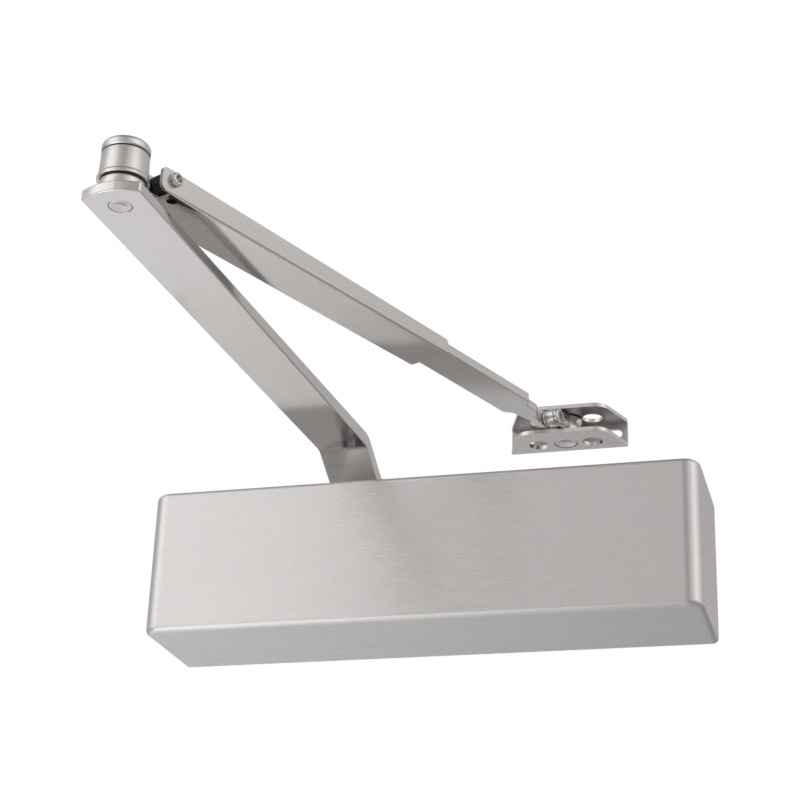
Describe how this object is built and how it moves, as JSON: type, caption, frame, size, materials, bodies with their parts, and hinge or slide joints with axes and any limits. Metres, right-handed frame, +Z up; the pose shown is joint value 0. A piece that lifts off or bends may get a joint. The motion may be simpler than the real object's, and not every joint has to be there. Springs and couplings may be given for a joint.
{
  "type": "door closer",
  "caption": "Surface-mounted door closer with a brushed box cover, cranked main arm, telescopic forearm and frame bracket.",
  "frame": {"origin": "centre of the mounting plate's back face", "axes": "+X along the cover towards the spring's adjuster, +Y into the door, +Z up along the spindle"},
  "size_m": [0.27, 0.3086, 0.1203],
  "materials": {
    "cover_steel": "satin brushed along its length",
    "brushed_steel": "satin brushed, worn at the joints",
    "cast_aluminium": "sand-blasted casting",
    "machined_steel": "machined and oiled",
    "spring_steel": "dark oil-tempered wire",
    "zinc": "bright zinc plate",
    "brass": "turned",
    "black_rubber": "matt",
    "black_plastic": "moulded nylon"
  },
  "bodies": {
    "base": {"mounting_plate": "zinc", "closer_body": "cast_aluminium", "body_screw_1": "zinc", "body_screw_2": "zinc", "body_screw_3": "zinc", "body_screw_4": "zinc", "cover": "cover_steel", "cover_clip_left": "zinc", "cover_clip_right": "zinc", "clip_screw_left": "zinc", "clip_screw_right": "zinc", "end_cap_left": "machined_steel", "end_cap_left_ring": "black_rubber", "end_cap_right": "machined_steel", "end_cap_right_ring": "black_rubber", "upper_bearing": "machined_steel", "lower_bearing": "machined_steel", "upper_seal": "black_rubber", "lower_seal": "black_rubber", "upper_gland_nut": "zinc", "lower_gland_nut": "zinc", "main_spring": "spring_steel"},
    "arm": {"pinion_spindle": "machined_steel", "main_arm": "brushed_steel", "arm_washer": "zinc", "arm_screw": "brushed_steel", "elbow_pin": "brushed_steel", "elbow_collar": "brushed_steel", "lower_washer": "black_plastic", "upper_washer": "black_plastic", "elbow_cap": "brushed_steel", "spindle_cap": "black_plastic"},
    "knuckle": {"knuckle": "brushed_steel"},
    "forearm": {"forearm_channel": "brushed_steel", "tilt_screw": "brushed_steel", "tilt_nut": "zinc", "tilt_bush": "black_plastic", "rod_lock_screw": "zinc"},
    "rod": {"forearm_rod": "brushed_steel", "swivel_rivet": "brushed_steel", "tilt_washer": "zinc"},
    "swivel": {"swivel_block": "brushed_steel"},
    "bracket": {"frame_bracket": "brushed_steel", "bracket_pin": "brushed_steel"},
    "piston": {"piston": "machined_steel", "piston_check_valve": "brass"},
    "spring_seat": {"spring_seat": "machined_steel"},
    "adjuster": {"spring_adjuster": "machined_steel"},
    "sweep": {"sweep_valve": "brass", "sweep_valve_ring": "black_rubber"},
    "latch": {"latch_valve": "brass", "latch_valve_ring": "black_rubber"},
    "backcheck": {"backcheck_valve": "brass", "backcheck_valve_ring": "black_rubber"}
  },
  "joints": [
    {"name": "spindle_turn", "type": "hinge", "parent": "base", "child": "arm", "pos_m": [-0.038, -0.022, 0], "axis": [0, 0, 1], "range_deg": [0, 180], "stiffness_Nm_per_rad": 1.8, "springref_deg": -143.24},
    {"name": "elbow_turn", "type": "hinge", "parent": "arm", "child": "knuckle", "pos_m": [-0.0557, -0.2964, 0], "axis": [0, 0, 1], "range_deg": [-165, 5]},
    {"name": "forearm_tilt", "type": "hinge", "parent": "knuckle", "child": "forearm", "pos_m": [-0.04879, -0.27989, 0.0732], "axis": [0.9225, -0.3861, 0], "range_deg": [0, 12]},
    {"name": "rod_slide", "type": "slide", "parent": "forearm", "child": "rod", "axis": [0.3861, 0.9225, 0], "range_m": [-0.03, 0.05]},
    {"name": "swivel_tilt", "type": "hinge", "parent": "rod", "child": "swivel", "pos_m": [0.05722, -0.02658, 0.0748], "axis": [0.9225, -0.3861, 0], "range_deg": [-10, 10]},
    {"name": "bracket_swivel", "type": "hinge", "parent": "swivel", "child": "bracket", "pos_m": [0.0637, -0.0111, 0], "axis": [0, 0, 1], "range_deg": [-85, 50]},
    {"name": "piston_slide", "type": "slide", "parent": "base", "child": "piston", "axis": [1, 0, 0], "range_m": [0, 0.0252], "deforming": ["main_spring"]},
    {"name": "seat_slide", "type": "slide", "parent": "base", "child": "spring_seat", "axis": [1, 0, 0], "range_m": [-0.0076, 0], "deforming": ["main_spring"]},
    {"name": "adjuster_turn", "type": "hinge", "parent": "base", "child": "adjuster", "pos_m": [0.1, -0.022, 0], "axis": [1, 0, 0], "range_deg": [-2160, 0]},
    {"name": "sweep_turn", "type": "hinge", "parent": "base", "child": "sweep", "pos_m": [-0.088, -0.0412, 0.0235], "axis": [0, 1, 0], "range_deg": [-720, 0]},
    {"name": "latch_turn", "type": "hinge", "parent": "base", "child": "latch", "pos_m": [-0.072, -0.0412, 0.0235], "axis": [0, 1, 0], "range_deg": [-720, 0]},
    {"name": "backcheck_turn", "type": "hinge", "parent": "base", "child": "backcheck", "pos_m": [-0.088, -0.0412, -0.0235], "axis": [0, 1, 0], "range_deg": [-720, 0]}
  ],
  "couplings": [
    {"joint": "piston_slide", "follows": "spindle_turn", "m_per_rad": 0.008},
    {"joint": "seat_slide", "follows": "adjuster_turn", "m_per_rad": 0.00019894}
  ]
}
